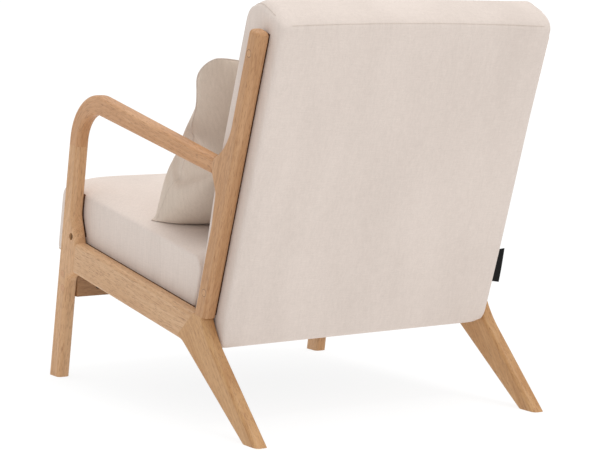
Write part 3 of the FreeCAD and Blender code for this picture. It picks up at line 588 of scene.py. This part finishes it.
def cushion_mesh(name, half_width, corners, counts, shape):
    """A closed, all-quad block: a side outline carried across X, with lattice faces.

    shape(point, panel, a, b) moves a surface point; panel is the side it lies on, and a
    and b are its places across that side from 0 to 1.
    """
    nx, ns, nt = counts
    place = outline_patch(corners)
    sheet = {}
    for j in range(ns + 1):
        for k in range(nt + 1):
            if j in (0, ns) or k in (0, nt):
                sheet[j, k] = place(eased(j / ns), eased(k / nt))
    inner = {}
    for j in range(ns + 1):
        for k in range(nt + 1):
            inner[j, k] = sheet.get((j, k)) or place(eased(j / ns), eased(k / nt))
    index_of = {}
    points = []
    for i in range(nx + 1):
        x = half_width * (2 * eased(i / nx) - 1)
        for j in range(ns + 1):
            for k in range(nt + 1):
                if i not in (0, nx) and j not in (0, ns) and k not in (0, nt):
                    continue
                flat = inner[j, k]
                spot = Vector((x, flat.x, flat.y))
                shares = (eased(i / nx), eased(j / ns), eased(k / nt))
                index_of[i, j, k] = len(points)
                points.append(shape(spot, shares, (i in (0, nx), j in (0, ns), k in (0, nt))))
    faces = []
    for j in range(ns):
        for k in range(nt):
            for i, turned in ((0, True), (nx, False)):
                ring = [(i, j, k), (i, j + 1, k), (i, j + 1, k + 1), (i, j, k + 1)]
                faces.append([index_of[key] for key in (ring[::-1] if turned else ring)])
    for i in range(nx):
        for k in range(nt):
            for j, turned in ((0, False), (ns, True)):
                ring = [(i, j, k), (i + 1, j, k), (i + 1, j, k + 1), (i, j, k + 1)]
                faces.append([index_of[key] for key in (ring[::-1] if turned else ring)])
    for i in range(nx):
        for j in range(ns):
            for k, turned in ((0, True), (nt, False)):
                ring = [(i, j, k), (i + 1, j, k), (i + 1, j + 1, k), (i, j + 1, k)]
                faces.append([index_of[key] for key in (ring[::-1] if turned else ring)])
    mesh = bpy.data.meshes.new(name)
    mesh.from_pydata(points, [], faces)
    mesh.update()
    smooth(mesh)
    return mesh, index_of


def tube_mesh(name, path, radius, closed):
    """A round cord of cloth that follows a path."""
    count = len(path)
    points = []
    previous = None
    for index, spot in enumerate(path):
        ahead = path[(index + 1) % count] if closed or index + 1 < count else spot
        behind = path[index - 1] if closed or index > 0 else spot
        along = (ahead - behind).normalized()
        if previous is None:
            previous = along.orthogonal().normalized()
        across = (previous - along * previous.dot(along)).normalized()
        previous = across
        other = along.cross(across)
        for turn in range(CORD_SIDES):
            angle = 2 * math.pi * turn / CORD_SIDES
            points.append(spot + across * radius * math.cos(angle)
                          + other * radius * math.sin(angle))
    faces = []
    for index in range(count if closed else count - 1):
        following = (index + 1) % count
        start, onward = index * CORD_SIDES, following * CORD_SIDES
        for turn in range(CORD_SIDES):
            beside = (turn + 1) % CORD_SIDES
            faces.append([start + turn, start + beside, onward + beside, onward + turn])
    if not closed:
        faces.append(list(range(CORD_SIDES))[::-1])
        faces.append([(count - 1) * CORD_SIDES + turn for turn in range(CORD_SIDES)])
    mesh = bpy.data.meshes.new(name)
    mesh.from_pydata(points, [], faces)
    mesh.update()
    smooth(mesh)
    return mesh


def seam(name, piece, indices, radius, closed=True, body="chair"):
    """A rolled seam laid along a row of a finished piece's vertices."""
    path = [piece.data.vertices[index].co.copy() for index in indices]
    mesh = tube_mesh(name, refined(path, closed), radius, closed)
    made = new_object(name, mesh)
    mesh.materials.append(seam_fabric)
    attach(made, body)
    return made


def round_over(u, v, u_limit, v_limit, radius):
    """Moves a point near the square corner at two limits onto a round of that corner."""
    over_u, over_v = u - (u_limit - radius), v - (v_limit - radius)
    if over_u > 0 and over_v > 0:
        scale = max(over_u, over_v) / math.hypot(over_u, over_v)
        u = u_limit - radius + over_u * scale
        v = v_limit - radius + over_v * scale
    return u, v


def between(low, high, value):
    """0 below low, 1 above high, and a smooth rise from one to the other."""
    share = min(max((value - low) / (high - low), 0.0), 1.0)
    return share * share * (3 - 2 * share)


def refined(path, closed):
    """A smooth curve through the points of a path."""
    count = len(path)
    points = []
    for index in range(count if closed else count - 1):
        around = []
        for offset in (-1, 0, 1, 2):
            place = index + offset
            around.append(path[place % count if closed else min(max(place, 0), count - 1)])
        p0, p1, p2, p3 = around
        for step in range(CURVE_STEPS):
            t = step / CURVE_STEPS
            points.append(0.5 * (2 * p1 + (p2 - p0) * t
                                 + (2 * p0 - 5 * p1 + 4 * p2 - p3) * t * t
                                 + (3 * p1 - p0 - 3 * p2 + p3) * t * t * t))
    if not closed:
        points.append(path[-1])
    return points


def soften(piece, levels):
    """Subdivides a piece for good; its first vertices stay in their old order."""
    modifier = piece.modifiers.new("soften", "SUBSURF")
    modifier.levels = modifier.render_levels = levels
    depsgraph = bpy.context.evaluated_depsgraph_get()
    finer = bpy.data.meshes.new_from_object(piece.evaluated_get(depsgraph))
    piece.modifiers.remove(modifier)
    piece.data = finer
    smooth(finer)


def swell(a, power=4.0):
    """1 in the middle of a panel, falling to 0 at its edges."""
    return 1 - abs(2 * a - 1) ** power


def ripple(spot, scale, seed):
    """Smooth noise from -1 to 1, the same on every run."""
    return noise.noise(Vector((spot[0] * scale + seed, spot[1] * scale, spot[2] * scale)))


# ---------------------------------------------------------------- seat cushion

SEAT_TILT = math.radians(9.2)
REAR_LEAN = math.radians(7.6)
REACH_BACK = 0.012
SEAM_DROP = 0.0085
SEAT_CROWN = 0.021
FRONT_BULGE = 0.005
BASE_ROUND, SEAM_ROUND = 0.006, 0.026
SEAT_COUNTS = (58, 50, 14)

seat_turn = Matrix.Rotation(SEAT_TILT, 3, "X")
seat_low, seat_high = local_box("seat_cover", seat_turn)
half_width = seat_high.x
seat_front, seat_base = seat_low.y, seat_low.z
seat_rear_top = seat_high.y + REACH_BACK
seat_rear_base = seat_rear_top - (seat_high.z - seat_base) * math.tan(REAR_LEAN) + 0.001
seat_seam_level = seat_high.z - SEAM_DROP


def seat_crown(x_share, run_share):
    """How far the seat's top stands over its seams; the pillow's half is pressed lower."""
    pressed = 0.5 * between(0.45, 0.9, run_share)
    along = (0.8 + 0.2 * swell(run_share, 3.0)) * (1 - pressed)
    return SEAT_CROWN * swell(x_share, 9.0) * along


def shape_seat(spot, shares, panel):
    a, b, c = shares
    on_side, on_end, on_level = panel
    moved = spot.copy()
    if on_level and c > 0.5:
        moved.z += seat_crown(a, b)
        moved.z += 0.0010 * ripple(spot, 9.0, 3.1) * swell(a) * swell(b)
    if on_end and b < 0.5:
        moved.y -= FRONT_BULGE * swell(a, 6) * swell(c, 2.2)
    if on_side:
        outward = 1 if a > 0.5 else -1
        moved.x += outward * 0.0006 * (1 + ripple(spot, 14.0, 7.7)) * swell(b) * swell(c)
    return moved


seat_corners = [
    (Vector((seat_front, seat_base)), BASE_ROUND),
    (Vector((seat_rear_base, seat_base)), BASE_ROUND),
    (Vector((seat_rear_top - 0.001, seat_seam_level)), SEAM_ROUND),
    (Vector((seat_front, seat_seam_level)), SEAM_ROUND),
]
seat_mesh, _ = cushion_mesh("seat_cushion", half_width, seat_corners, SEAT_COUNTS, shape_seat)
seat_mesh.transform(seat_turn.inverted().to_4x4())
seat_mesh.materials.append(seat_fabric)
seat_cushion = new_object("seat_cushion", seat_mesh)
soften(seat_cushion, 2)
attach(seat_cushion, "chair")
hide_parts("seat_cover", "seat_foam")

# ---------------------------------------------------------------- back cushion

BACK_TILT = math.radians(16.8)
BACK_COUNTS = (58, 12, 60)
BACK_REAR_HEIGHT, BACK_FRONT_HEIGHT = 0.588, 0.607
BACK_ROUNDS = (0.010, 0.006, 0.008, 0.038)
FRONT_CROWN = 0.009
FOOT_HOLLOW = 0.012
REAR_OUT, REAR_CROWN = 0.0015, 0.0020
SIDE_OUT = 0.002
RIM_ROUND, TOP_ROUND = 0.006, 0.010
BACK_CROWN = 0.0120
# The two sides of the real cushion differ a little: 1 is the left side, -1 the right.
FOOT_ROUND = {1: 0.006, -1: 0.024}
FOOT_SPREAD = {1: 0.001, -1: 0.0035}
RIM_PUFF = {1: 0.003, -1: 0.0135}

back_turn = Matrix.Rotation(BACK_TILT, 3, "X")
back_low, back_high = local_box("back_cover", back_turn)
back_rear = back_high.y
back_front = back_low.y
back_base = back_low.z


def shape_back(spot, shares, panel):
    a, b, c = shares
    on_side, on_end, on_level = panel
    moved = spot.copy()
    outward = 1 if a > 0.5 else -1
    if on_end and b < 0.5:
        moved.y -= FRONT_CROWN * swell(a, 3) * swell(c, 3)
    moved.y += FOOT_HOLLOW * (1 - b) * (1 - between(0.12, 0.5, c))
    if on_end and b > 0.5:
        moved.y += REAR_OUT + REAR_CROWN * swell(a, 5) * swell(c, 5)
        moved.y += 0.0007 * ripple(spot, 6.0, 1.3) * swell(a) * swell(c)
    if on_side:
        moved.x += outward * FOOT_SPREAD[outward] * b * b * (1 - between(0.2, 0.8, c))
        moved.x += outward * SIDE_OUT * between(0.5, 0.8, b)
    sag = (0.0035 + 0.004 * a) * (1 - between(0.0, 0.3, c))
    puff = RIM_PUFF[outward] * swell(b, 4)
    moved.z += (0.006 * b * swell(a, 2) + puff) * between(0.9, 1.0, c) - sag
    top = back_place(b, 1.0).y + puff
    across = abs(moved.x)
    across, moved.z = round_over(across, moved.z, half_width, top, TOP_ROUND)
    across, down = round_over(across, -moved.z, half_width, sag - back_base,
                              FOOT_ROUND[outward])
    moved.z = -down
    across, moved.y = round_over(across, moved.y, half_width + SIDE_OUT,
                                 back_rear + REAR_OUT, RIM_ROUND)
    moved.x = math.copysign(across, moved.x)
    if on_level and c > 0.5:
        moved.z += (BACK_CROWN * swell(b, 2.6) - puff) * swell(a, 30)
    return moved


back_corners = list(zip((
    Vector((back_front, back_base)),
    Vector((back_rear, back_base)),
    Vector((back_rear, back_base + BACK_REAR_HEIGHT)),
    Vector((back_front + 0.006, back_base + BACK_FRONT_HEIGHT))), BACK_ROUNDS))
back_place = outline_patch(back_corners)
back_mesh, back_index = cushion_mesh("back_cushion", half_width, back_corners, BACK_COUNTS,
                                     shape_back)
back_mesh.transform(back_turn.inverted().to_4x4())
back_mesh.materials.append(back_fabric)
back_cushion = new_object("back_cushion", back_mesh)
soften(back_cushion, 2)
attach(back_cushion, "chair")
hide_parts("back_cover", "back_foam", "back_rear_wadding")
across_count, deep_count, up_count = BACK_COUNTS
SEAM_START = 48
for number, i in enumerate((0, across_count)):
    over_top = [back_index[i, 0, k] for k in range(SEAM_START, up_count)]
    over_top += [back_index[i, j, up_count] for j in range(deep_count - 3)]
    seam(f"back_seam_{number + 1}", back_cushion, over_top, 0.0008, closed=False)
rear_top = [back_index[i, deep_count, up_count] for i in range(2, across_count - 1)]
seam("back_top_seam", back_cushion, rear_top, 0.0006, closed=False)

# ---------------------------------------------------------------- pillow

PILLOW_WIDTH, PILLOW_HEIGHT = 0.50, 0.385
PILLOW_ACROSS, PILLOW_UPWARD = 72, 56
PANEL_APART, PANEL_LEAST = 0.034, 0.002
TOP_PULL, FOOT_PULL = 0.092, -0.010
PUFFED_SIZE = (PILLOW_WIDTH * 0.985, 0.170, 0.392)
FOOT_THICKER = 0.28
FOOT_SAG, TOP_SAG, TOP_RISE = 0.014, 0.022, 0.014
# Along the pillow's left edge: push outwards, at a share of the half height, and spread.
EDGE_PUSHES = ((0.037, -0.30, 0.42), (0.017, 0.80, 0.20), (-0.003, 0.42, 0.13))
PILLOW_SHIFT = (0.004, -0.004, -0.018)
CLEARANCE = 0.001

pillow_turn = (Matrix.Rotation(math.radians(-6.0), 3, "Z")
               @ Matrix.Rotation(math.radians(-33.0), 3, "X")).inverted()
pillow_low, pillow_high = local_box("pillow_cover", pillow_turn)
pillow_middle = (pillow_low + pillow_high) / 2


def flat_pillow(name, across, upward):
    """Two flat panels sewn together round a rounded rectangle, a little apart inside."""
    points = []
    index_of = {}
    for face in (1, -1):
        for i in range(across + 1):
            for k in range(upward + 1):
                edge = i in (0, across) or k in (0, upward)
                if edge and face < 0:
                    index_of[face, i, k] = index_of[1, i, k]
                    continue
                a, c = 2 * i / across - 1, 2 * k / upward - 1
                depth = PANEL_APART * (1 - a ** 4) * (1 - c ** 4)
                depth += 0 if edge else PANEL_LEAST
                pull = 1 - (TOP_PULL if c > 0 else FOOT_PULL) * abs(a * c) ** 5
                index_of[face, i, k] = len(points)
                points.append(Vector((a * pull * PILLOW_WIDTH / 2, face * depth,
                                      c * pull * PILLOW_HEIGHT / 2)))
    faces = []
    for face in (1, -1):
        for i in range(across):
            for k in range(upward):
                ring = [index_of[face, i, k], index_of[face, i + 1, k],
                        index_of[face, i + 1, k + 1], index_of[face, i, k + 1]]
                faces.append(ring[::-1] if face > 0 else ring)
    mesh = bpy.data.meshes.new(name)
    mesh.from_pydata(points, [], faces)
    mesh.update()
    smooth(mesh)
    rim = [(i, 0) for i in range(across)] + [(across, k) for k in range(upward)]
    rim += [(i, upward) for i in range(across, 0, -1)] + [(0, k) for k in range(upward, 0, -1)]
    return mesh, [index_of[1, i, k] for i, k in rim]


pillow_mesh, pillow_rim = flat_pillow("pillow", PILLOW_ACROSS, PILLOW_UPWARD)
pillow = new_object("pillow", pillow_mesh)


def inflate(piece, pressure, frames):
    """Where the cloth solver brings the vertices of a closed piece that it blows up."""
    cloth = piece.modifiers.new("inflate", "CLOTH")
    settings = cloth.settings
    settings.quality = 6
    settings.mass = 0.25
    settings.tension_stiffness = 18.0
    settings.compression_stiffness = 18.0
    settings.shear_stiffness = 6.0
    settings.bending_stiffness = 0.6
    settings.air_damping = 3.0
    settings.use_pressure = True
    settings.uniform_pressure_force = pressure
    settings.effector_weights.gravity = 0.0
    cloth.point_cache.frame_start = 1
    cloth.point_cache.frame_end = frames
    for number in range(1, frames + 1):
        scene.frame_set(number)
    depsgraph = bpy.context.evaluated_depsgraph_get()
    result = bpy.data.meshes.new_from_object(piece.evaluated_get(depsgraph))
    spots = np.array([vertex.co for vertex in result.vertices])
    bpy.data.meshes.remove(result)
    piece.modifiers.remove(cloth)
    scene.frame_set(1)
    return spots


spots = inflate(pillow, pressure=5.0, frames=26)

spots -= (spots.min(0) + spots.max(0)) / 2
for axis, size in enumerate(PUFFED_SIZE):
    spots[:, axis] *= size / np.ptp(spots[:, axis])
across_share = spots[:, 0] / (PILLOW_WIDTH / 2)
height_share = spots[:, 2] / (PUFFED_SIZE[2] / 2)
upper, lower = np.clip(height_share, 0, 1), np.clip(-height_share, 0, 1)
spots[:, 1] *= 1.0 + FOOT_THICKER * lower ** 0.8
spots[:, 2] -= FOOT_SAG * lower ** 3 * (1 - across_share ** 2)
pushes = sum(push * np.exp(-((height_share - at) / spread) ** 2)
             for push, at, spread in EDGE_PUSHES)
spots[:, 0] += pushes * np.clip(across_share, 0, 1) ** 5
spots[:, 2] -= TOP_SAG * upper ** 4 * (1 - across_share ** 6)
spots[:, 2] += TOP_RISE * upper


def above_seat(world):
    """How far a point lies above the seat cushion's visible top, in metres."""
    local = seat_turn @ world
    a = (local.x + half_width) / (2 * half_width)
    b = (local.y - seat_front) / (seat_rear_top - seat_front)
    inside = min(max(a, 0), 1), min(max(b, 0), 1)
    return local.z - seat_seam_level - seat_crown(*inside)


def before_back(world):
    """How far a point lies in front of the back cushion's visible front, in metres."""
    local = back_turn @ world
    a = min(max((local.x + half_width) / (2 * half_width), 0), 1)
    c = min(max((local.z - back_base) / 0.6, 0), 1)
    front = back_front - FRONT_CROWN * swell(a, 3) * swell(c, 3)
    return front + FOOT_HOLLOW * (1 - between(0.12, 0.5, c)) - local.y


seat_up = seat_turn.inverted() @ Vector((0, 0, 1))
back_out = back_turn.inverted() @ Vector((0, -1, 0))
pillow_place = Vector([pillow_middle[axis] + PILLOW_SHIFT[axis] for axis in range(3)])
out_turn = pillow_turn.inverted()
for vertex, spot in zip(pillow_mesh.vertices, spots):
    world = out_turn @ (Vector(spot) + pillow_place)
    above = above_seat(world)
    if above < CLEARANCE:
        world += seat_up * (CLEARANCE - above)
    before = before_back(world)
    if before < CLEARANCE:
        world += back_out * (CLEARANCE - before)
    vertex.co = world
pillow_mesh.update()
pillow_mesh.materials.append(pillow_fabric)
soften(pillow, 1)
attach(pillow, "pillow")
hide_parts("pillow_cover", "pillow_fill")
seam("pillow_seam", pillow, pillow_rim, 0.0006, body="pillow")
over_top = pillow_rim[PILLOW_ACROSS + PILLOW_UPWARD // 2:2 * PILLOW_ACROSS + PILLOW_UPWARD]
seam("pillow_top_seam", pillow, over_top, 0.0012, closed=False, body="pillow")

# ---------------------------------------------------------------- sewn tag

TAG_OUT, TAG_SLANT = 0.0035, 0.005
TAG_CURL, TAG_WAVE = 0.0016, 0.0006
TAG_THICKNESS = 0.0009
tag_low, tag_high = local_box("sewn_tag", back_turn)


def tag_mesh():
    """A folded woven strip that curls a little away from the seam."""
    across, upward = 6, 14
    points = []
    for i in range(across + 1):
        a = i / across
        for k in range(upward + 1):
            c = k / upward
            x = tag_high.x + (tag_low.x - tag_high.x) * a
            curl = TAG_CURL * a * a + TAG_WAVE * math.sin(c * math.pi * 1.3)
            x -= TAG_OUT + TAG_SLANT * a * (1 - c)
            z = tag_low.z + (tag_high.z - tag_low.z) * c + 0.003 * a * (2 * c - 1)
            points.append(Vector((x, (tag_low.y + tag_high.y) / 2 + curl, z)))
    faces = []
    for i in range(across):
        for k in range(upward):
            first = i * (upward + 1) + k
            faces.append([first, first + 1, first + upward + 2, first + upward + 1])
    mesh = bpy.data.meshes.new("tag")
    mesh.from_pydata(points, [], faces)
    mesh.update()
    smooth(mesh)
    return mesh


tag_data = tag_mesh()
tag_data.transform(back_turn.inverted().to_4x4())
tag = new_object("side_tag", tag_data)
tag_data.materials.append(plain_cloth("tag_weave", "#1C1B1B", 2400.0))
thickness = tag.modifiers.new("thickness", "SOLIDIFY")
thickness.thickness = TAG_THICKNESS
thickness.offset = 0.0
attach(tag, "chair")
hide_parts("sewn_tag")

# ---------------------------------------------------------------- floor and light

FLOOR_HALF = 150.0
FLOOR_GLOW = 0.88
FLOOR_SHADES = (0.155, 0.165)
WORLD_STRENGTH = 0.70

floor_mesh = bpy.data.meshes.new("floor")
floor_mesh.from_pydata(
    [(x * FLOOR_HALF, y * FLOOR_HALF, 0) for x, y in ((-1, -1), (1, -1), (1, 1), (-1, 1))],
    [], [(0, 1, 2, 3)])
floor = new_object("floor", floor_mesh)
floor_shader = Shader("pale_floor", Roughness=0.9, Specular_IOR_Level=0.0,
                      Emission_Color=(1.0, 1.0, 1.0, 1.0), Emission_Strength=FLOOR_GLOW)
dust = floor_shader.noise(floor_shader.place(), 3.0)
floor_mesh.materials.append(floor_shader.finish(floor_shader.ramp(
    dust, [(place, (shade,) * 3) for place, shade in zip((0.0, 1.0), FLOOR_SHADES)])))

world = bpy.data.worlds.new("studio")
world.use_nodes = True
world.node_tree.nodes["Background"].inputs["Color"].default_value = (1.0, 1.0, 1.0, 1)
world.node_tree.nodes["Background"].inputs["Strength"].default_value = WORLD_STRENGTH
scene.world = world


def soft_sun(name, towards, strength, spread):
    """A wide, soft light that stands in a direction; spread is in degrees."""
    data = bpy.data.lights.new(name, "SUN")
    data.energy = strength
    data.angle = math.radians(spread)
    made = bpy.data.objects.new(name, data)
    scene.collection.objects.link(made)
    made.location = Vector(towards) * 4
    made.rotation_euler = Vector(towards).to_track_quat("Z", "Y").to_euler()


soft_sun("overhead", (-0.15, 0.18, 0.97), 1.05, 28)
soft_sun("from_the_front", (0.15, -0.5, 0.85), 0.45, 50)
soft_sun("from_behind", (-0.3, 0.9, 0.35), 0.18, 60)

scene.view_settings.view_transform = "Standard"
scene.view_settings.look = "None"
scene.view_settings.exposure = 0.0
